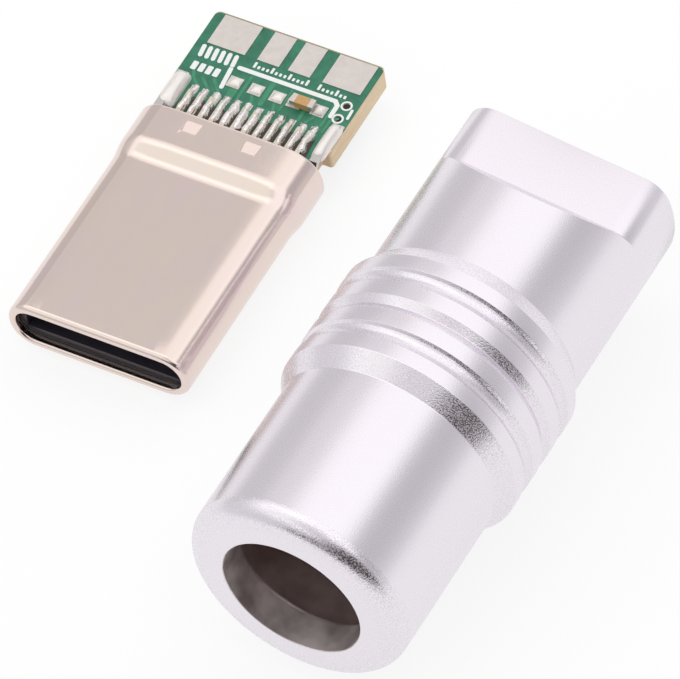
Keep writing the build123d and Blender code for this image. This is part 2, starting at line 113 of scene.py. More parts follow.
def rounded(points, steps=6):
    """A line through points (along, out, radius), with each inner corner rounded to its radius."""
    line = []
    for i, (x, y, radius) in enumerate(points):
        corner = np.array([x, y], float)
        if not radius or i in (0, len(points) - 1):
            line.append(corner)
            continue
        back = np.array(points[i - 1][:2], float) - corner
        ahead = np.array(points[i + 1][:2], float) - corner
        back /= np.linalg.norm(back)
        ahead /= np.linalg.norm(ahead)
        half = np.arccos(np.clip(back @ ahead, -1, 1)) / 2
        reach = radius / np.tan(half)
        middle = back + ahead
        middle /= np.linalg.norm(middle)
        centre = corner + middle * radius / np.sin(half)
        start, stop = corner + back * reach - centre, corner + ahead * reach - centre
        sweep = pi - 2 * half
        for step in range(steps + 1):
            t = step / steps
            arm = np.sin((1 - t) * sweep) * start + np.sin(t * sweep) * stop
            line.append(centre + arm / np.sin(sweep))
    return line


def groove(middle, kind):
    """Profile points across one groove of the band, from its near edge to its far edge.

    A vee is cut with a pointed tool, and a round one is a little slimmer than half an ellipse.
    """
    near, far = middle - groove_half, middle + groove_half
    if kind == "vee":
        floor = (middle, band_radius - groove_depth, vee_floor_round)
        return [(near, band_radius, vee_edge_round), floor, (far, band_radius, vee_edge_round)]
    points = [(near, band_radius, groove_edge_round)]
    for step in range(1, groove_steps):
        t = step / groove_steps * 2 - 1
        depth = groove_depth * sqrt(1 - t * t) ** groove_power
        points.append((middle + t * groove_half, band_radius - depth, 0))
    return points + [(far, band_radius, groove_edge_round)]


# The milled end's outline is a core, a disc cut off above and below, grown by its corner radius.
core_radius, core_half = barrel_radius - flat_corner, flat_half - flat_corner
core_edge = sqrt(core_radius**2 - core_half**2)
beside_flats = up <= across * core_half / core_edge


def flat_reach(rise):
    """Radius of the milled end at each angle, where its outline has grown by rise."""
    grown = flat_corner + rise
    on_flat = (core_half + grown) / np.maximum(up, 1e-6)
    along = across * core_edge + up * core_half
    on_corner = along + np.sqrt(np.maximum(along**2 - core_radius**2 + grown**2, 0))
    reach = np.where(on_flat * across <= core_edge, on_flat, on_corner)
    return np.minimum(np.where(beside_flats, core_radius + grown, reach), barrel_radius)


def socket_reach():
    """Radius of the socket's stadium outline at each angle."""
    inner = np.array([socket_half_width - socket_corner, socket_half_height - socket_corner])
    on_top = socket_half_height / np.maximum(up, 1e-6)
    on_side = socket_half_width / np.maximum(across, 1e-6)
    along = across * inner[0] + up * inner[1]
    on_corner = along + np.sqrt(np.maximum(along**2 - inner @ inner + socket_corner**2, 0))
    reach = np.where(on_top * across <= inner[0], on_top, on_corner)
    return np.where(on_side * up <= inner[1], on_side, reach)


def all_round(value):
    """The same value at every angle."""
    return np.full(around, value)


# How deep the flats cut into the barrel at each angle sets where their slope begins.
past_edge, past_half = across * barrel_radius - core_edge, up * barrel_radius - core_half
past_core = np.where(past_edge <= 0, past_half, np.hypot(past_edge, past_half))
cut_depth = np.where(beside_flats, 0, past_core - flat_corner)
crease = flat_start - np.maximum(cut_depth, 0) / flat_slope

turned_line = rounded(
    [(0, hole_radius + hole_edge, 0), (0, barrel_radius - rim_width, 0), (0, barrel_radius, rim_round)]
    + [(front_shoulder[0], barrel_radius, shoulder_round), (front_shoulder[1], band_radius, band_round)]
    + [point for middle, kind in grooves for point in groove(middle, kind)]
    + [(rear_shoulder[0], band_radius, band_round), (rear_shoulder[1], barrel_radius, shoulder_round)]
    + [(turned_end, barrel_radius, 0)]
)
housing_rows = [(all_round(y), all_round(r)) for y, r in turned_line]
housing_rows += [(crease - crease_round, all_round(barrel_radius)), (crease, all_round(barrel_radius))]
for share in (0.03, 0.2, 0.4, 0.6, 0.8, 0.97):
    y = crease + (flat_start - crease) * share
    housing_rows.append((y, flat_reach((flat_start - y) * flat_slope)))
for y, fall in (
    (flat_start, 0),
    (flat_start + 0.04, 0),
    (housing_length - end_round, 0),
    (housing_length - 0.3 * end_round, 0.3 * end_round),
    (housing_length, end_round),
):
    housing_rows.append((all_round(y), flat_reach(0) - fall))
housing_rows.append((all_round(housing_length), socket_reach() + socket_chamfer))
housing_rows.append((all_round(housing_length - socket_chamfer), socket_reach()))
first_bore_row = len(housing_rows) - 1
housing_rows.append((all_round(socket_start), socket_reach()))
bore_line = rounded(
    [(socket_start, chamber_radius, 0), (collar_end, chamber_radius, chamber_round)]
    + [(collar_end, hole_radius, collar_round), (hole_edge, hole_radius, 0)],
    8,
)
housing_rows += [(all_round(y), all_round(r)) for y, r in bore_line]


def ring_mesh(name, rings, in_row):
    """A closed mesh through rings of equal point counts, the last ring joined to the first."""
    count = len(rings[0])
    points = [in_row(p) for ring in rings for p in ring]
    faces = []
    for i in range(len(rings)):
        after = (i + 1) % len(rings)
        for j in range(count):
            k = (j + 1) % count
            faces.append((i * count + j, i * count + k, after * count + k, after * count + j))
    mesh = bpy.data.meshes.new(name)
    mesh.from_pydata(points, [], faces)
    mesh.validate()
    return mesh


def show(mesh, material, sharp=30):
    """Puts a mesh in the scene, smooth but for edges sharper than the angle, riding on the root."""
    piece = bpy.data.objects.new(mesh.name, mesh)
    bpy.context.collection.objects.link(piece)
    mesh.shade_smooth()
    mesh.set_sharp_from_angle(angle=radians(sharp))
    mesh.materials.append(material)
    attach(piece, "root")
    return piece


def shade_flats_flat(piece):
    """Keeps the shading of flat faces even beside rounded edges."""
    weights = piece.modifiers.new("weights", "WEIGHTED_NORMAL")
    weights.keep_sharp = True


def in_housing(point):
    """A point of the housing's own frame in the row frame, in metres."""
    x, y, z = point
    return (housing_origin + housing_right * x + housing_axis * y + Vector((0, 0, z))) * MM


def linear(code):
    """The shader's linear colour for an sRGB hex code."""
    parts = [int(code[i : i + 2], 16) / 255 for i in (0, 2, 4)]
    return [p / 12.92 if p <= 0.04045 else ((p + 0.055) / 1.055) ** 2.4 for p in parts] + [1.0]


def add(tree, kind, settings=(), links=()):
    """Adds a node: settings go to its sockets or its own options, links to its sockets.

    A number is a socket's place. A colour Mix has its colours at 6 and 7, its result at 2.
    """
    node = tree.nodes.new(kind)
    for key, value in dict(settings).items():
        if isinstance(key, int) or key in node.inputs:
            node.inputs[key].default_value = value
        else:
            setattr(node, key, value)
    for key, (source, output) in dict(links).items():
        tree.links.new(source.outputs[output], node.inputs[key])
    return node


def new_material(name):
    """An empty node material and its tree."""
    material = bpy.data.materials.new(name)
    material.use_nodes = True
    material.node_tree.nodes.clear()
    return material, material.node_tree


# The grit leaves pits of about 0.05 mm, some duller than others. On the rim, the shoulders and the
# grooves it bites deeper, and there a dark reflection breaks up into sparkle.
housing_finishes = {}
for name, pit, depth, smooth, rough in (
    ("blasted_anodised_aluminium", 0.05, 0.002, 0.265, 0.285),
    ("coarse_blasted_aluminium", 0.055, 0.005, 0.16, 0.44),
):
    housing_finishes[name], tree = new_material(name)
    place = add(tree, "ShaderNodeTexCoord")
    grain = add(
        tree,
        "ShaderNodeTexNoise",
        {"Scale": 1 / (pit * MM), "Detail": 0.0},
        {"Vector": (place, "Object")},
    )
    relief = add(
        tree, "ShaderNodeBump", {"Strength": 1.0, "Distance": depth * MM}, {"Height": (grain, "Fac")}
    )
    gloss = add(
        tree,
        "ShaderNodeMapRange",
        {"From Min": 0.35, "From Max": 0.65, "To Min": smooth, "To Max": rough},
        {"Value": (grain, "Fac")},
    )
    skin = add(
        tree,
        "ShaderNodeBsdfPrincipled",
        {"Base Color": linear("ECE6ED"), "Metallic": 1.0},
        {"Normal": (relief, "Normal"), "Roughness": (gloss, "Result")},
    )
    add(tree, "ShaderNodeOutputMaterial", {}, {"Surface": (skin, "BSDF")})

# Bored inside: the cutter leaves fine rings, drawn 0.75 mm apart so that they show, and the metal
# is clouded darker and browner than the outside, which is painted shade of the closed bore. The collar
# at the hole's mouth is blasted too, so it is paler than the chamber. The wave turns 20 radians in
# each unit, so a ring is 2 pi times ring_radian.
ring_radian, shade_cloud_size = 0.12, 1.6
for name, dark, pale, metal, rough in (
    ("bored_aluminium_painted_shade", "BCAAA7", "DED0CC", 0.65, 0.38),
    ("blasted_bore_collar_painted_shade", "A99C9B", "F6EDEB", 0.45, 0.28),
):
    housing_finishes[name], tree = new_material(name)
    place = add(tree, "ShaderNodeTexCoord")
    cutter_rings = add(
        tree,
        "ShaderNodeTexWave",
        {
            "bands_direction": "Y",
            "Scale": 1 / (20 * ring_radian * MM),
            "Distortion": 0.6,
            "Detail": 1.0,
        },
        {"Vector": (place, "Object")},
    )
    relief = add(
        tree,
        "ShaderNodeBump",
        {"Strength": 1.0, "Distance": 0.003 * MM},
        {"Height": (cutter_rings, "Fac")},
    )
    cloud = add(
        tree,
        "ShaderNodeTexNoise",
        {"Scale": 1 / (shade_cloud_size * MM), "Detail": 3.0},
        {"Vector": (place, "Object")},
    )
    spread = add(
        tree, "ShaderNodeMapRange", {"From Min": 0.35, "From Max": 0.65}, {"Value": (cloud, "Fac")}
    )
    # The darker brown clouds are painted shade of the closed bore.
    painted_shade_clouds = add(
        tree,
        "ShaderNodeMix",
        {"data_type": "RGBA", 6: linear(dark), 7: linear(pale)},
        {0: (spread, "Result")},
    )
    skin = add(
        tree,
        "ShaderNodeBsdfPrincipled",
        {"Metallic": metal, "Roughness": rough},
        {"Base Color": (painted_shade_clouds, 2), "Normal": (relief, "Normal")},
    )
    add(tree, "ShaderNodeOutputMaterial", {}, {"Surface": (skin, "BSDF")})

housing_rings = [
    [(r[i] * cos(angles[i]), y[i], r[i] * sin(angles[i])) for i in range(around)]
    for y, r in housing_rows
]
housing_mesh = ring_mesh("turned_housing", housing_rings, in_housing)
housing_piece = show(housing_mesh, housing_finishes["blasted_anodised_aluminium"], 25)
for name in ("coarse_blasted_aluminium", "bored_aluminium_painted_shade", "blasted_bore_collar_painted_shade"):
    housing_mesh.materials.append(housing_finishes[name])
plain, coarse, bored, collar = range(4)
least_step = 0.004
for face in housing_mesh.polygons:
    row = face.index // around
    if row >= first_bore_row:
        face.material_index = collar if housing_rows[row][0][0] < collar_end + 0.01 else bored
    elif row < len(turned_line) - 1:
        (near, inner), (far, outer) = turned_line[row], turned_line[row + 1]
        steps_out = far > near and abs(outer - inner) > least_step
        face.material_index = coarse if steps_out else plain
shade_flats_flat(housing_piece)
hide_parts("housing")

# Plug shell: a tube deep-drawn from stainless steel strip, with a wider hood behind and a rolled
# lip at the mouth. Satin nickel plate makes it warm grey with faint streaks, and bright along its
# bends. Two stakes pressed in at the back of each wide face hold the mouldings.
plug_origin = Vector((-7.8157, -3.7038, 1.55))
tube_width, tube_height, tube_corner = 8.25, 2.40, 1.15
hood_wider, hood_taller, hood_rounder = 0.15, 0.70, 0.27
wall = 0.28
lip_length, lip_inset = 0.35, 0.38
lip_outer_round, lip_inner_round = 0.235, 0.13
ramp_start, ramp_end, ramp_round = 8.70, 9.35, 0.95
hood_end, hood_outer_round, hood_inner_round = 11.25, 0.08, 0.04
crown_run, hood_crown_run, crown_tilt = 0.50, 1.30, radians(3.2)
corner_steps, crown_steps = 16, 5
stake_places = (-1.35, 1.35)
stake_half, stake_end, stake_length, stake_depth = 0.34, 10.93, 0.60, 0.07


def in_plug(point):
    """A point of the plug's frame in the row frame, in metres; z is up from the plug's axis."""
    return (plug_origin + Vector(point)) * MM


def shell_ring(y, grow, inset):
    """The shell's section at y: grown 0 to 1 from tube to hood, and inset from its outer face.

    The wide faces fall away a little before the corners, as a drawn sheet's do.
    """
    half_width = (tube_width + hood_wider * grow) / 2 - inset
    half_height = (tube_height + hood_taller * grow) / 2 - inset
    corner = tube_corner + hood_rounder * grow - inset
    fall = tan(crown_tilt)
    crown = crown_run + (hood_crown_run - crown_run) * grow
    top = half_height - crown * fall / 2
    quarter = []
    for step in range(corner_steps + 1):
        t = step / corner_steps * (pi / 2 - crown_tilt)
        quarter.append((half_width - corner + corner * cos(t), top - corner * (1 - sin(t))))
    edge_x, edge_z = quarter[-1]
    for step in range(1, crown_steps + 1):
        run = crown * step / crown_steps
        quarter.append((edge_x - run, edge_z + fall * (run - run**2 / (2 * crown))))
    ring = []
    for flip_x, flip_z, order in ((1, 1, 1), (-1, 1, -1), (-1, -1, 1), (1, -1, -1)):
        ring += [(flip_x * x, y, flip_z * z) for x, z in quarter[::order]]
    return ring


hood_rise = hood_taller / 2
mouth_line = rounded(
    [(lip_length, lip_inset, 0), (0, lip_inset, lip_inner_round), (0, 0, lip_outer_round), (1.0, 0, 0)],
    8,
)
ramp_line = rounded(
    [(8.20, 0, 0), (ramp_start, 0, ramp_round), (ramp_end, hood_rise, ramp_round), (10.0, hood_rise, 0)],
    12,
)
rear_line = rounded(
    [(hood_end - 0.15, 0, 0), (hood_end, 0, hood_outer_round)]
    + [(hood_end, wall, hood_inner_round), (hood_end - 0.15, wall, 0)],
    5,
)
shell_rings = [shell_ring(y, 0, inset) for y, inset in mouth_line]
shell_rings += [shell_ring(y, rise / hood_rise, 0) for y, rise in ramp_line]
shell_rings += [shell_ring(y, 1, inset) for y, inset in rear_line]
for y, grow in ((ramp_end, 1), (ramp_start, 0), (lip_length, 0)):
    shell_rings.append(shell_ring(y, grow, wall))

# Plating grain of some microns is drawn at 0.06 mm, as spots a little duller than the rest, and
# faint draw marks, twice as long as wide, run with the tube.
grain_size, draw_mark_size = 0.06, 1.4
nickel, tree = new_material("satin_nickel_plate")
place = add(tree, "ShaderNodeTexCoord")
grain = add(
    tree,
    "ShaderNodeTexNoise",
    {"Scale": 1 / (grain_size * MM), "Detail": 1.0},
    {"Vector": (place, "Object")},
)
relief = add(
    tree, "ShaderNodeBump", {"Strength": 1.0, "Distance": 0.0015 * MM}, {"Height": (grain, "Fac")}
)
stretch = add(
    tree, "ShaderNodeMapping", {"Scale": (1.0, 0.45, 1.0)}, {"Vector": (place, "Object")}
)
draw_marks = add(
    tree,
    "ShaderNodeTexNoise",
    {"Scale": 1 / (draw_mark_size * MM), "Detail": 3.0},
    {"Vector": (stretch, "Vector")},
)
tint = add(
    tree,
    "ShaderNodeMix",
    {"data_type": "RGBA", 6: linear("E8D5D6"), 7: linear("E6D8C8")},
    {0: (draw_marks, "Fac")},
)
gloss = add(
    tree,
    "ShaderNodeMapRange",
    {"From Min": 0.3, "From Max": 0.7, "To Min": 0.10, "To Max": 0.18},
    {"Value": (grain, "Fac")},
)
skin = add(
    tree,
    "ShaderNodeBsdfPrincipled",
    {"Metallic": 1.0},
    {"Base Color": (tint, 2), "Normal": (relief, "Normal"), "Roughness": (gloss, "Result")},
)
add(tree, "ShaderNodeOutputMaterial", {}, {"Surface": (skin, "BSDF")})

shell_mesh = ring_mesh("drawn_plug_shell", shell_rings, in_plug)
shell_piece = show(shell_mesh, nickel, 40)

# Each stake is pressed in by a wedge, deepest at its front end. The wedges stand clear of the
# face and run out behind, so that they cut cleanly.
wedge_clear, wedge_run_out, wedge_exit = 0.06, 0.25, 0.005
stake_points, stake_faces = [], []
for x in stake_places:
    for side in (1, -1):
        first = len(stake_points)
        face_z = side * (tube_height + hood_taller) / 2
        wedge = [
            (stake_end + wedge_run_out, face_z + side * wedge_clear),
            (stake_end - stake_length, face_z + side * wedge_clear),
            (stake_end - stake_length, face_z - side * stake_depth),
            (stake_end, face_z + side * wedge_exit),
        ]
        for end in (-stake_half, stake_half):
            stake_points += [in_plug((x + end, y, z)) for y, z in wedge]
        loop = [0, 1, 2, 3] if side < 0 else [3, 2, 1, 0]
        stake_faces.append([first + i for i in loop])
        stake_faces.append([first + 4 + i for i in loop[::-1]])
        for i in range(4):
            a, b = loop[i], loop[(i + 1) % 4]
            stake_faces.append([first + b, first + a, first + 4 + a, first + 4 + b])
stake_mesh = bpy.data.meshes.new("stakes")
stake_mesh.from_pydata(stake_points, [], stake_faces)
stakes = bpy.data.objects.new("stakes", stake_mesh)
bpy.context.collection.objects.link(stakes)
cut = shell_piece.modifiers.new("stakes", "BOOLEAN")
cut.operation = "DIFFERENCE"
cut.solver = "EXACT"
cut.object = stakes
worked = shell_piece.evaluated_get(bpy.context.evaluated_depsgraph_get())
shell_piece.data = bpy.data.meshes.new_from_object(worked)
shell_piece.modifiers.clear()
bpy.data.objects.remove(stakes)


def soften(piece, width, segments, sharp):
    """Rounds a piece's edges that are sharper than the angle."""
    edges = piece.modifiers.new("edges", "BEVEL")
    edges.width = width * MM
    edges.segments = segments
    edges.limit_method = "ANGLE"
    edges.angle_limit = radians(sharp)


soften(shell_piece, 0.05, 3, 50)
shade_flats_flat(shell_piece)
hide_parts("plug_shell")

# Mouldings: the front insulator and the two contact carriers are injection moulded in black LCP
# filled with glass, which leaves a dull, faintly uneven skin.
moulded, tree = new_material("moulded_black_lcp")
place = add(tree, "ShaderNodeTexCoord")
grain = add(
    tree,
    "ShaderNodeTexNoise",
    {"Scale": 1 / (0.15 * MM), "Detail": 2.0},
    {"Vector": (place, "Object")},
)
relief = add(
    tree, "ShaderNodeBump", {"Strength": 0.2, "Distance": 0.01 * MM}, {"Height": (grain, "Fac")}
)
skin = add(
    tree,
    "ShaderNodeBsdfPrincipled",
    {"Base Color": linear("35333C"), "Roughness": 0.42, "IOR": 1.6},
    {"Normal": (relief, "Normal")},
)
add(tree, "ShaderNodeOutputMaterial", {}, {"Surface": (skin, "BSDF")})


def dress(node, material, bevel=0.0):
    """Gives a CAD node a finish, and its edges a small round."""
    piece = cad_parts[node]
    piece.data.materials.clear()
    piece.data.materials.append(material)
    piece.data.shade_smooth()
    piece.data.set_sharp_from_angle(angle=radians(30))
    if bevel:
        soften(piece, bevel, 2, 40)


for node in ("front_insulator", "upper_contact_carrier", "lower_contact_carrier"):
    dress(node, moulded)

# Contacts, latch plate and springs: stamped from thin strip. The contacts are plated copper alloy,
# the latch plate and the springs stainless steel. Rolling leaves fine lines along the strip, drawn
# 0.08 mm apart, and faint clouds in the plating.
strips = {}
for name, dark, pale, smooth, rough in (
    ("plated_contact_strip", "DCCFBA", "EFE6D8", 0.17, 0.29),
    ("stamped_stainless_strip", "BDBAB7", "D3D1CE", 0.23, 0.35),
):
    strips[name], tree = new_material(name)
    place = add(tree, "ShaderNodeTexCoord")
    rolled = add(
        tree, "ShaderNodeMapping", {"Scale": (1.0, 0.08, 1.0)}, {"Vector": (place, "Object")}
    )
    lines = add(
        tree,
        "ShaderNodeTexNoise",
        {"Scale": 1 / (0.08 * MM), "Detail": 2.0},
        {"Vector": (rolled, "Vector")},
    )
    relief = add(
        tree, "ShaderNodeBump", {"Strength": 1.0, "Distance": 0.003 * MM}, {"Height": (lines, "Fac")}
    )
    cloud = add(
        tree,
        "ShaderNodeTexNoise",
        {"Scale": 1 / (0.60 * MM), "Detail": 3.0},
        {"Vector": (place, "Object")},
    )
    tone = add(
        tree,
        "ShaderNodeMix",
        {"data_type": "RGBA", 6: linear(dark), 7: linear(pale)},
        {0: (cloud, "Fac")},
    )
    gloss = add(
        tree, "ShaderNodeMapRange", {"To Min": smooth, "To Max": rough}, {"Value": (lines, "Fac")}
    )
    skin = add(
        tree,
        "ShaderNodeBsdfPrincipled",
        {"Metallic": 1.0},
        {"Base Color": (tone, 2), "Normal": (relief, "Normal"), "Roughness": (gloss, "Result")},
    )
    add(tree, "ShaderNodeOutputMaterial", {}, {"Surface": (skin, "BSDF")})
for row in "ab":
    for n in range(12):
        dress(f"contact_{row}{n + 1:02d}", strips["plated_contact_strip"], 0.02)
for node in ("latch_plate", "upper_grounding_spring", "lower_grounding_spring"):
    dress(node, strips["stamped_stainless_strip"], 0.02)

# Circuit board: glass cloth in epoxy, sawn to size. The sawn edges show the cloth as pale tan
# layers, in uneven browner patches where the saw has scorched the far edge. Only the mask makes
# the faces green.
board_start, board_end, board_face = 11.70, 17.20, 0.50
board_half, neck_half, neck_end = 3.90, 3.42, 12.42
scorch_depth = 0.10
vias = [(-1.23, 13.53), (3.38, 14.79), (3.36, 14.06)]
via_radius = 0.15
laminate, tree = new_material("glass_epoxy_laminate")
place = add(tree, "ShaderNodeTexCoord")
layers = add(
    tree, "ShaderNodeMapping", {"Scale": (0.25, 0.25, 3.0)}, {"Vector": (place, "Object")}
)
fibres = add(
    tree,
    "ShaderNodeTexNoise",
    {"Scale": 1 / (0.30 * MM), "Detail": 4.0, "Roughness": 0.65},
    {"Vector": (layers, "Vector")},
)
cloth = add(
    tree,
    "ShaderNodeMix",
    {"data_type": "RGBA", 6: linear("E2C094"), 7: linear("FBEBCB")},
    {0: (fibres, "Fac")},
)
split = add(tree, "ShaderNodeSeparateXYZ", {}, {"Vector": (place, "Object")})
far_edge = plug_origin.y + board_end
scorch = add(
    tree,
    "ShaderNodeMapRange",
    {"From Min": (far_edge - scorch_depth) * MM, "From Max": far_edge * MM},
    {"Value": (split, "Y")},
)
burn = add(
    tree,
    "ShaderNodeMix",
    {"data_type": "RGBA", 6: linear("8A6448"), 7: linear("D2AE84")},
    {0: (fibres, "Fac")},
)
edge_tone = add(
    tree,
    "ShaderNodeMix",
    {"data_type": "RGBA"},
    {0: (scorch, "Result"), 6: (cloth, 2), 7: (burn, 2)},
)
relief = add(
    tree, "ShaderNodeBump", {"Strength": 1.0, "Distance": 0.02 * MM}, {"Height": (fibres, "Fac")}
)
skin = add(
    tree,
    "ShaderNodeBsdfPrincipled",
    {"Roughness": 0.62, "IOR": 1.55},
    {"Base Color": (edge_tone, 2), "Normal": (relief, "Normal")},
)
add(tree, "ShaderNodeOutputMaterial", {}, {"Surface": (skin, "BSDF")})


def sheet_mesh(name, loops, low, high):
    """A flat sheet between two heights: the first loop is its outline, the others are holes."""
    curve = bpy.data.curves.new(name, "CURVE")
    curve.dimensions = "2D"
    curve.fill_mode = "BOTH"
    curve.extrude = (high - low) / 2
    for loop in loops:
        spline = curve.splines.new("POLY")
        spline.points.add(len(loop) - 1)
        for point, (x, y) in zip(spline.points, loop):
            point.co = (x, y, 0, 1)
        spline.use_cyclic_u = True
    holder = bpy.data.objects.new(name, curve)
    mesh = bpy.data.meshes.new_from_object(holder)
    bpy.data.objects.remove(holder)
    for vertex in mesh.vertices:
        vertex.co = in_plug((vertex.co.x, vertex.co.y, vertex.co.z + (low + high) / 2))
    mesh.name = name
    return mesh


def circle(x, y, radius, steps=20):
    """Outline of a circle."""
    turns = [2 * pi * k / steps for k in range(steps)]
    return [(x + radius * cos(t), y + radius * sin(t)) for t in turns]


def board_outline(inset):
    """The board's outline, with a shoulder cut from each front corner to clear the legs.

    It is inset evenly, but four times as much at the far edge.
    """
    half, neck = board_half - inset, neck_half - inset
    front, shoulder, back = board_start + inset, neck_end + inset, board_end - 4 * inset
    right = [(neck, front, 0.05), (neck, shoulder, 0.08), (half, shoulder, 0.14), (half, back, 0.22)]
    left = [(-x, y, radius) for x, y, radius in reversed(right)]
    return [tuple(p) for p in rounded([(0, front, 0)] + right + left + [(-0.01, front, 0)], 4)]


board_loops = [board_outline(0)] + [circle(x, y, via_radius) for x, y in vias]
board_piece = show(sheet_mesh("sawn_board", board_loops, -board_face, board_face), laminate)
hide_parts("circuit_board")

# Solder mask: a green epoxy lacquer, screened on both faces with openings round each pad and
# via, cured glossy. It looks lighter over copper, so the traces show through as paler bands.
mask_top = board_face + 0.02
mask_inset, mask_lap, via_clear = 0.015, 0.008, 0.01
tail_pitch = 0.50
tail_places = [(n - 5.5) * tail_pitch for n in range(12)]
bare_chip_places = (-1.38, -0.40, 0.58)
capacitor_ends = (1.37, 2.47)
wire_pads = [
    (x, 16.30, width, 1.60) for x, width in ((-2.58, 1.74), (-0.63, 1.00), (0.79, 1.00), (2.74, 1.74))
]
tail_pads = [(x, 12.60, 0.30, 1.40) for x in tail_places]
chip_pads = [(x, 14.08, 0.60, 0.56) for x in bare_chip_places]
chip_pads += [(x, 14.12, 0.62, 0.58) for x in capacitor_ends]


def box_outline(x, y, width, length, corner=0.04, steps=3):
    """Outline of a rectangle round x, y with small round corners, in the plug's frame."""
    points = []
    for quarter in range(4):
        corner_x = (width / 2 - corner) * (1 if quarter in (0, 3) else -1)
        corner_y = (length / 2 - corner) * (1 if quarter in (0, 1) else -1)
        for step in range(steps + 1):
            t = quarter * pi / 2 + step / steps * pi / 2
            points.append((x + (corner_x + corner * cos(t)), y + (corner_y + corner * sin(t))))
    return points


def stroke(points, width, tips=4):
    """Outline of a line of even width through points, with round ends."""
    left, right = [], []
    for i, (x, y) in enumerate(points):
        runs = []
        for j in (i - 1, i):
            if 0 <= j < len(points) - 1:
                run = np.array(points[j + 1]) - np.array(points[j])
                runs.append(run / np.linalg.norm(run))
        along = sum(runs) / np.linalg.norm(sum(runs))
        reach = width / 2 / (along @ runs[0])
        left.append((x - along[1] * reach, y + along[0] * reach))
        right.append((x + along[1] * reach, y - along[0] * reach))
    ends = []
    for tip, other in ((points[-1], points[-2]), (points[0], points[1])):
        start = np.arctan2(tip[1] - other[1], tip[0] - other[0])
        turns = [start + pi / 2 - pi * k / (tips + 1) for k in range(1, tips + 1)]
        ends.append([(tip[0] + width / 2 * cos(t), tip[1] + width / 2 * sin(t)) for t in turns])
    return left + ends[0] + right[::-1] + ends[1]


def joined(name, meshes, material):
    """One piece from several meshes, in one finish."""
    points, faces = [], []
    for mesh in meshes:
        first = len(points)
        points += [vertex.co.copy() for vertex in mesh.vertices]
        faces += [[first + i for i in face.vertices] for face in mesh.polygons]
        bpy.data.meshes.remove(mesh)
    whole = bpy.data.meshes.new(name)
    whole.from_pydata(points, [], faces)
    return show(whole, material)


green_mask, tree = new_material("green_solder_mask")
place = add(tree, "ShaderNodeTexCoord")
flow = add(
    tree,
    "ShaderNodeTexNoise",
    {"Scale": 1 / (0.45 * MM), "Detail": 3.0},
    {"Vector": (place, "Object")},
)
tone = add(
    tree,
    "ShaderNodeMix",
    {"data_type": "RGBA", 6: linear("0C5642"), 7: linear("34936F")},
    {0: (flow, "Fac")},
)
relief = add(
    tree, "ShaderNodeBump", {"Strength": 1.0, "Distance": 0.012 * MM}, {"Height": (flow, "Fac")}
)
skin = add(
    tree,
    "ShaderNodeBsdfPrincipled",
    {"Roughness": 0.30, "IOR": 1.55},
    {"Base Color": (tone, 2), "Normal": (relief, "Normal")},
)
add(tree, "ShaderNodeOutputMaterial", {}, {"Surface": (skin, "BSDF")})

for name, side, bare_pads in (
    ("solder_mask_top", 1, wire_pads + tail_pads + chip_pads),
    ("solder_mask_bottom", -1, wire_pads + tail_pads),
):
    loops = [board_outline(mask_inset)] + [circle(x, y, via_radius + via_clear) for x, y in vias]
    for x, y, width, length in bare_pads:
        loops.append(box_outline(x, y, width - 2 * mask_lap, length - 2 * mask_lap))
    low, high = sorted((side * board_face, side * mask_top))
    mask_piece = show(sheet_mesh(name, loops, low, high), green_mask)

over_copper, tree = new_material("green_solder_mask_over_copper")
place = add(tree, "ShaderNodeTexCoord")
flow = add(
    tree,
    "ShaderNodeTexNoise",
    {"Scale": 1 / (0.30 * MM), "Detail": 3.0},
    {"Vector": (place, "Object")},
)
tone = add(
    tree,
    "ShaderNodeMix",
    {"data_type": "RGBA", 6: linear("247C58"), 7: linear("4AA27A")},
    {0: (flow, "Fac")},
)
skin = add(
    tree, "ShaderNodeBsdfPrincipled", {"Roughness": 0.30, "IOR": 1.55}, {"Base Color": (tone, 2)}
)
add(tree, "ShaderNodeOutputMaterial", {}, {"Surface": (skin, "BSDF")})

trace_top = mask_top + 0.012
trace_lines = [
    ([(-2.75, 13.36), (-3.10, 13.72), (-3.42, 14.40)], 0.14),
    ([(-2.25, 13.36), (-2.72, 13.80)], 0.13),
    ([(-1.75, 13.36), (-2.25, 13.90)], 0.13),
    ([(-1.25, 13.36), (-1.25, 13.72)], 0.34),
    ([(-0.89, 13.40), (-0.89, 14.60)], 0.13),
    ([(-0.25, 13.36), (-0.40, 13.72)], 0.13),
    ([(0.10, 13.50), (0.10, 14.62)], 0.22),
    ([(0.75, 13.36), (0.62, 13.72)], 0.13),
    ([(0.97, 13.50), (0.97, 14.62)], 0.10),
    ([(1.92, 13.36), (1.92, 14.60)], 0.16),
    ([(2.25, 13.36), (2.42, 13.76)], 0.13),
    ([(2.90, 13.45), (2.90, 14.60)], 0.12),
    ([(3.12, 13.20), (3.12, 13.80), (3.36, 14.06)], 0.12),
]
traces = []
for i, (line, width) in enumerate(trace_lines):
    traces.append(sheet_mesh(f"trace_{i}", [stroke(line, width)], mask_top, trace_top))
trace_piece = joined("masked_traces", traces, over_copper)

# Printed marks: white epoxy ink, screened on the mask and cured matt. They are an open frame round
# the small parts, a ring round each of two vias, and plain bars, squares and ticks. The ink stands
# a little higher than the traces, so that it covers them.
ink_top = mask_top + 0.018
ring_outer, ring_inner = 0.25, 0.17
bar_pitch, square_pitch, tick_pitch = 0.30, 0.34, 0.20
tick_foot, tick_width, long_tick, short_tick = 15.08, 0.11, 0.30, 0.16
ink, tree = new_material("white_screen_ink")
place = add(tree, "ShaderNodeTexCoord")
wear = add(
    tree,
    "ShaderNodeTexNoise",
    {"Scale": 1 / (0.12 * MM), "Detail": 2.0},
    {"Vector": (place, "Object")},
)
tone = add(
    tree,
    "ShaderNodeMix",
    {"data_type": "RGBA", 6: linear("F4F8F6"), 7: linear("FFFFFF")},
    {0: (wear, "Fac")},
)
skin = add(
    tree, "ShaderNodeBsdfPrincipled", {"Roughness": 0.55, "IOR": 1.5}, {"Base Color": (tone, 2)}
)
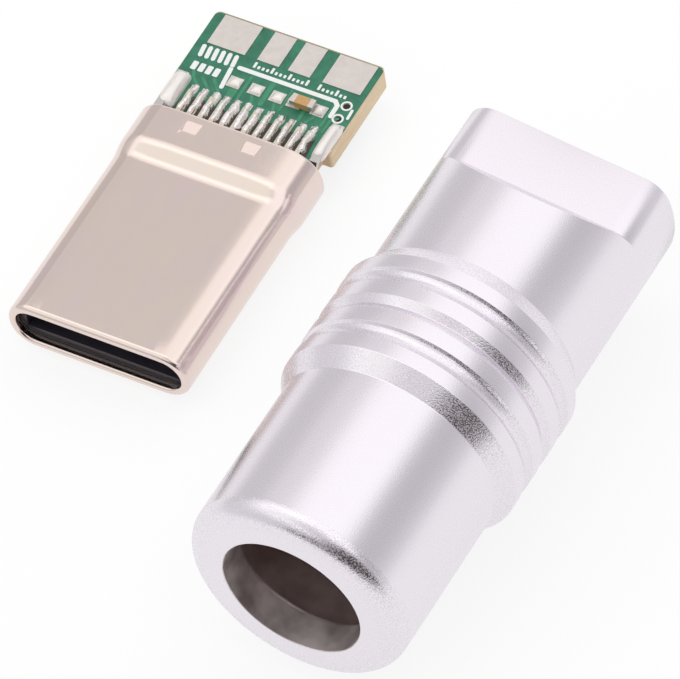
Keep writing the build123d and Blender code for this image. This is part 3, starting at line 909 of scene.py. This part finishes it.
add(tree, "ShaderNodeOutputMaterial", {}, {"Surface": (skin, "BSDF")})

mark_lines = [
    ([(-1.58, 14.84), (2.84, 14.84), (3.02, 14.66), (3.03, 14.06)], 0.20),
    ([(-1.88, 14.66), (-1.78, 13.66)], 0.19),
    ([(3.70, 14.66), (3.72, 14.22)], 0.12),
]
mark_loops = [[stroke(line, width)] for line, width in mark_lines]
for x, y in vias[1:]:
    mark_loops.append([circle(x, y, ring_outer), circle(x, y, ring_inner)])
for n in range(6):
    bar = [(-3.46 + bar_pitch * n, 15.30), (-3.40 + bar_pitch * n, 14.82)]
    mark_loops.append([stroke(bar, 0.19)])
for n in range(4):
    mark_loops.append([box_outline(-3.34 + square_pitch * n, 14.24, 0.24, 0.44, 0.05)])
for start, count in ((-1.06, 13), (1.90, 7)):
    for n in range(count):
        x, tick = start + tick_pitch * n, long_tick if n % 4 == 0 else short_tick
        mark_loops.append([box_outline(x, tick_foot + tick / 2, tick_width, tick, 0.03)])
marks = [sheet_mesh(f"mark_{i}", loops, mask_top, ink_top) for i, loops in enumerate(mark_loops)]
marks_piece = joined("printed_marks", marks, ink)

# Plugged vias: each drilled hole is filled with black resin, a little below the mask's surface,
# so it shows as a dull dark dot. The plug is real, and its black is also painted shade: it stands for
# the dark inside of an open hole.
resin_low, resin_high, resin_clear = -0.47, 0.48, 0.002
resin_and_shade, tree = new_material("black_via_resin_and_painted_shade")
place = add(tree, "ShaderNodeTexCoord")
speck = add(
    tree,
    "ShaderNodeTexNoise",
    {"Scale": 1 / (0.05 * MM), "Detail": 2.0},
    {"Vector": (place, "Object")},
)
# These near blacks are partly painted shade of the hole.
tone = add(
    tree,
    "ShaderNodeMix",
    {"data_type": "RGBA", 6: linear("14100E"), 7: linear("2A241F")},
    {0: (speck, "Fac")},
)
skin = add(
    tree, "ShaderNodeBsdfPrincipled", {"Roughness": 0.6, "IOR": 1.5}, {"Base Color": (tone, 2)}
)
add(tree, "ShaderNodeOutputMaterial", {}, {"Surface": (skin, "BSDF")})
plugs = [
    sheet_mesh(f"via_{i}", [circle(x, y, via_radius - resin_clear)], resin_low, resin_high)
    for i, (x, y) in enumerate(vias)
]
via_piece = joined("via_resin_plugs_and_painted_shade", plugs, resin_and_shade)

# Pads: copper 0.05 mm thick with a matt coat of tin, levelled by hot air, which leaves it pale
# grey with a warm cast, softly mottled and rounded at the edges.
pad_top = board_face + 0.05
leg_lands = [(x, 13.13, 0.54, 1.32) for x in (-3.58, 3.58)]
tin, tree = new_material("hot_air_levelled_tin")
place = add(tree, "ShaderNodeTexCoord")
mottle = add(
    tree,
    "ShaderNodeTexNoise",
    {"Scale": 1 / (0.40 * MM), "Detail": 4.0, "Roughness": 0.6},
    {"Vector": (place, "Object")},
)
tone = add(
    tree,
    "ShaderNodeMix",
    {"data_type": "RGBA", 6: linear("CEC6C1"), 7: linear("E6DFD9")},
    {0: (mottle, "Fac")},
)
relief = add(
    tree, "ShaderNodeBump", {"Strength": 1.0, "Distance": 0.012 * MM}, {"Height": (mottle, "Fac")}
)
gloss = add(
    tree, "ShaderNodeMapRange", {"To Min": 0.34, "To Max": 0.46}, {"Value": (mottle, "Fac")}
)
skin = add(
    tree,
    "ShaderNodeBsdfPrincipled",
    {"Metallic": 0.9},
    {"Base Color": (tone, 2), "Normal": (relief, "Normal"), "Roughness": (gloss, "Result")},
)
add(tree, "ShaderNodeOutputMaterial", {}, {"Surface": (skin, "BSDF")})
for face in ("top", "bottom"):
    dress(f"contact_pads_{face}", tin, 0.02)
    dress(f"wire_pads_{face}", tin, 0.03)
dress("chip_pads", tin, 0.03)
leg_sheets = [
    sheet_mesh("leg_land", [box_outline(x, y, width, length, 0.06)], board_face, pad_top)
    for x, y, width, length in leg_lands
]
leg_land_piece = joined("leg_lands", leg_sheets, tin)
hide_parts("leg_pads")

# Painted shade: a thin dark brown glassy film over the mask, from the board's front edge back
# between the contacts' tails, standing for the shade in the gaps behind the hood. Its far edge runs out
# unevenly.
shade_film_half, shade_film_start, shade_film_reach, shade_film_unevenness = 3.12, 11.72, 12.70, 0.12
shade_film, tree = new_material("painted_shade_film")
place = add(tree, "ShaderNodeTexCoord")
film_mottle = add(
    tree,
    "ShaderNodeTexNoise",
    {"Scale": 1 / (0.25 * MM), "Detail": 3.0},
    {"Vector": (place, "Object")},
)
# The dark browns of this film are painted shade.
tone = add(
    tree,
    "ShaderNodeMix",
    {"data_type": "RGBA", 6: linear("1E1B17"), 7: linear("4C4A3C")},
    {0: (film_mottle, "Fac")},
)
skin = add(
    tree, "ShaderNodeBsdfPrincipled", {"Roughness": 0.35, "IOR": 1.5}, {"Base Color": (tone, 2)}
)
add(tree, "ShaderNodeOutputMaterial", {}, {"Surface": (skin, "BSDF")})
chance = np.random.default_rng(7)
film = [(-shade_film_half, shade_film_start), (shade_film_half, shade_film_start)]
for x in np.arange(3.05, -3.06, -0.125):
    film.append((x, shade_film_reach + chance.uniform(-shade_film_unevenness, shade_film_unevenness)))
shade_film_piece = show(sheet_mesh("painted_shade_sheet", [film], mask_top, mask_top + 0.012), shade_film)

# Solder: on each contact's tail a hump climbs the sides, covers the tail and runs out over the
# pad, bright and wet looking, each a little different, as reflowed joints are. The joints on the
# legs and the small parts are made by hand and have cooled slowly to a dull white skin.
solders = {}
for name, colour, metal, rough, ripple_size, ripple_depth in (
    ("bright_reflowed_solder", "EAE5E2", 1.0, 0.14, 0.11, 0.046),
    ("dull_hand_solder", "F4EEE9", 0.55, 0.36, 0.30, 0.016),
):
    solders[name], tree = new_material(name)
    place = add(tree, "ShaderNodeTexCoord")
    ripple = add(
        tree,
        "ShaderNodeTexNoise",
        {"Scale": 1 / (ripple_size * MM), "Detail": 2.0},
        {"Vector": (place, "Object")},
    )
    relief = add(
        tree,
        "ShaderNodeBump",
        {"Strength": 1.0, "Distance": ripple_depth * MM},
        {"Height": (ripple, "Fac")},
    )
    skin = add(
        tree,
        "ShaderNodeBsdfPrincipled",
        {"Base Color": linear(colour), "Metallic": metal, "Roughness": rough},
        {"Normal": (relief, "Normal")},
    )
    add(tree, "ShaderNodeOutputMaterial", {}, {"Surface": (skin, "BSDF")})


def solder_hump(
    x,
    start,
    end,
    width,
    heights,
    side=1,
    lean=0.0,
    base=pad_top,
    rows=14,
    columns=12,
    swells=(1,),
    drifts=(0,),
):
    """A closed hump of solder along y: heights are its crown's heights over its base, start to end.

    Swells are shares of its width and drifts are steps aside, both spread evenly from start to end.
    It rises steeply from its sides and is blunt at its ends.
    """
    points, faces = [], []
    for i in range(rows + 1):
        t = i / rows
        y = start + (end - start) * t
        crown = np.interp(t, np.linspace(0, 1, len(heights)), heights)
        ease = min(1.0, sqrt(max(0.0, 1 - (2 * t - 1) ** 8)) + 0.02)
        swell = np.interp(t, np.linspace(0, 1, len(swells)), swells)
        drift = np.interp(t, np.linspace(0, 1, len(drifts)), drifts)
        for j in range(columns + 1):
            u = 2 * j / columns - 1
            rise = (1 - abs(u) ** 2.2) ** 0.65
            px = x + u * width / 2 * ease * swell + lean * (t - 0.5) + drift
            points.append(in_plug((px, y, side * (base + crown * rise * ease))))
    for i in range(rows):
        for j in range(columns):
            a = i * (columns + 1) + j
            quad = [a, a + 1, a + columns + 2, a + columns + 1]
            faces.append(quad if side > 0 else quad[::-1])
    border = list(range(columns + 1))
    border += [i * (columns + 1) + columns for i in range(1, rows + 1)]
    border += [rows * (columns + 1) + j for j in range(columns - 1, -1, -1)]
    border += [i * (columns + 1) for i in range(rows - 1, 0, -1)]
    faces.append(border[::-1] if side > 0 else border)
    mesh = bpy.data.meshes.new("hump")
    mesh.from_pydata(points, [], faces)
    return mesh


hump_start, hump_end, hump_width = 11.78, 13.36, 0.39
hump_heights = (0.22, 0.24, 0.21, 0.15, 0.08)
for face, side in (("top", 1), ("bottom", -1)):
    humps = []
    for tail in tail_places:
        x = tail + chance.uniform(-0.02, 0.02)
        shifts = chance.uniform(-0.03, 0.04, 6)
        heights = [0.20] + [height + shift for height, shift in zip(hump_heights, shifts)]
        end = hump_end + chance.uniform(-0.03, 0.08)
        width = hump_width + chance.uniform(-0.03, 0.04)
        lean = chance.uniform(-0.08, 0.08)
        swells, drifts = chance.uniform(0.72, 1.08, 7), chance.uniform(-0.035, 0.035, 6)
        humps.append(
            solder_hump(
                x,
                hump_start,
                end,
                width,
                heights,
                side=side,
                lean=lean,
                base=mask_top,
                rows=24,
                swells=swells,
                drifts=drifts,
            )
        )
    hump_piece = joined(f"reflowed_tail_solder_{face}", humps, solders["bright_reflowed_solder"])
    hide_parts(f"tail_solder_{face}")
beads = [
    solder_hump(x, start, 13.78, width, heights, lean=0.02, base=mask_top, rows=18, columns=16)
    for x, start, width, heights in (
        (-3.49, 11.76, 0.80, [0.18, 0.32, 0.38, 0.39, 0.36, 0.18]),
        (3.57, 11.72, 0.62, [0.18, 0.32, 0.37, 0.38, 0.35, 0.18]),
    )
]
bead_piece = joined("hand_soldered_leg_beads", beads, solders["dull_hand_solder"])
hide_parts("leg_solder")
dome_heights = [0.04, 0.11, 0.14, 0.10, 0.04]
domes = [solder_hump(x + 0.04, 13.84, 14.34, 0.52, dome_heights) for x in bare_chip_places]
dome_piece = joined("chip_pad_solder", domes, solders["dull_hand_solder"])

# Chip capacitor: a block of fired tan ceramic, finely speckled, between two tinned end caps. It
# is soldered to its pads with a small fillet at each end.
fired, tree = new_material("fired_ceramic")
place = add(tree, "ShaderNodeTexCoord")
speck = add(
    tree,
    "ShaderNodeTexNoise",
    {"Scale": 1 / (0.10 * MM), "Detail": 3.0},
    {"Vector": (place, "Object")},
)
tone = add(
    tree,
    "ShaderNodeMix",
    {"data_type": "RGBA", 6: linear("BA8A4E"), 7: linear("E2B478")},
    {0: (speck, "Fac")},
)
skin = add(
    tree, "ShaderNodeBsdfPrincipled", {"Roughness": 0.45, "IOR": 1.6}, {"Base Color": (tone, 2)}
)
add(tree, "ShaderNodeOutputMaterial", {}, {"Surface": (skin, "BSDF")})
dress("capacitor_body", fired, 0.03)
dress("capacitor_caps", tin, 0.04)
fillets = [
    solder_hump(1.17, 13.92, 14.32, 0.20, [0.10, 0.18, 0.10]),
    solder_hump(2.52, 13.86, 14.38, 0.50, [0.06, 0.20, 0.18, 0.08]),
]
fillet_piece = joined("capacitor_solder_fillets", fillets, solders["dull_hand_solder"])

# Table and light: a white table inside a tent of pale cloth, which is the only light. Four fifths
# of the table's look is plain white, and the rest takes the shadows.
table_half = 3000 * MM
table_corners = [(x * table_half, y * table_half, 0) for x, y in ((-1, -1), (1, -1), (1, 1), (-1, 1))]
table_mesh = bpy.data.meshes.new("table")
table_mesh.from_pydata(table_corners, [], [(0, 1, 2, 3)])
table = bpy.data.objects.new("table", table_mesh)
bpy.context.collection.objects.link(table)
white_table, tree = new_material("white_table")
paper = add(tree, "ShaderNodeBsdfDiffuse", {"Color": linear("FFFFFF")})
glow = add(tree, "ShaderNodeEmission", {"Color": (1, 1, 1, 1), "Strength": 1.02})
path = add(tree, "ShaderNodeLightPath")
seen = add(
    tree,
    "ShaderNodeMath",
    {"operation": "ADD"},
    {0: (path, "Is Camera Ray"), 1: (path, "Is Glossy Ray")},
)
shown = add(
    tree,
    "ShaderNodeMath",
    {"operation": "ADD"},
    {0: (seen, 0), 1: (path, "Is Transmission Ray")},
)
share = add(tree, "ShaderNodeMath", {"operation": "MULTIPLY", 1: 0.8}, {0: (shown, 0)})
blend = add(
    tree, "ShaderNodeMixShader", {}, {0: (share, 0), 1: (paper, "BSDF"), 2: (glow, "Emission")}
)
add(tree, "ShaderNodeOutputMaterial", {}, {"Surface": (blend, 0)})
table_mesh.materials.append(white_table)

# The tent is brighter overhead, and its brighter and darker patches are what the polished and
# satin metal shows. A patch has the azimuth and elevation of its middle, the angles from there
# where it is full and where it ends, all in degrees, and its tone. A later one covers an earlier.
world = bpy.data.worlds.new("light_tent")
bpy.context.scene.world = world
world.use_nodes = True
tree = world.node_tree
tree.nodes.clear()
place = add(tree, "ShaderNodeTexCoord")
split = add(tree, "ShaderNodeSeparateXYZ", {}, {"Vector": (place, "Generated")})
lift = add(
    tree,
    "ShaderNodeMapRange",
    {"interpolation_type": "SMOOTHSTEP", "From Min": 0.45, "From Max": 0.72},
    {"Value": (split, "Z")},
)
tent = add(
    tree,
    "ShaderNodeMix",
    {"data_type": "RGBA", 6: (0.75, 0.74, 0.76, 1), 7: (1.22, 1.22, 1.23, 1)},
    {0: (lift, "Result")},
)
for azimuth, elevation, full, ends, tone in (
    (-110, 72, 8, 24, (1.46, 1.44, 1.41)),
    (-150, 48, 12, 30, (1.11, 1.09, 1.08)),
    (-145, 51, 1.5, 6.5, (0.73, 0.73, 0.74)),
    (-135, 44, 6, 12, (0.74, 0.73, 0.74)),
    (-125, 26, 5, 14, (0.62, 0.61, 0.62)),
    (-45, 59, 9, 22, (1.05, 1.08, 1.03)),
    (169, 59, 7, 20, (1.16, 1.16, 1.17)),
    (-121, 8, 8, 30, (0.66, 0.65, 0.66)),
    (8, 60, 8, 22, (0.74, 0.72, 0.75)),
    (-171, 6, 8, 22, (1.18, 1.17, 1.18)),
    (103, 26, 8, 24, (0.45, 0.44, 0.47)),
    (122, 31, 3, 17, (0.56, 0.55, 0.58)),
    (-2, 5, 10, 24, (0.22, 0.21, 0.21)),
    (42, 16, 20, 42, (0.08, 0.07, 0.07)),
):
    facing = add(
        tree,
        "ShaderNodeVectorMath",
        {"operation": "DOT_PRODUCT", 1: direction(radians(azimuth), radians(elevation))},
        {0: (place, "Generated")},
    )
    patch = add(
        tree,
        "ShaderNodeMapRange",
        {
            "interpolation_type": "SMOOTHSTEP",
            "From Min": cos(radians(ends)),
            "From Max": cos(radians(full)),
        },
        {"Value": (facing, "Value")},
    )
    tent = add(
        tree,
        "ShaderNodeMix",
        {"data_type": "RGBA", 7: (*tone, 1)},
        {0: (patch, "Result"), 6: (tent, 2)},
    )
room = add(tree, "ShaderNodeBackground", {"Strength": 1.0}, {"Color": (tent, 2)})
add(tree, "ShaderNodeOutputWorld", {}, {"Surface": (room, "Background")})

bpy.context.scene.view_settings.view_transform = "Standard"
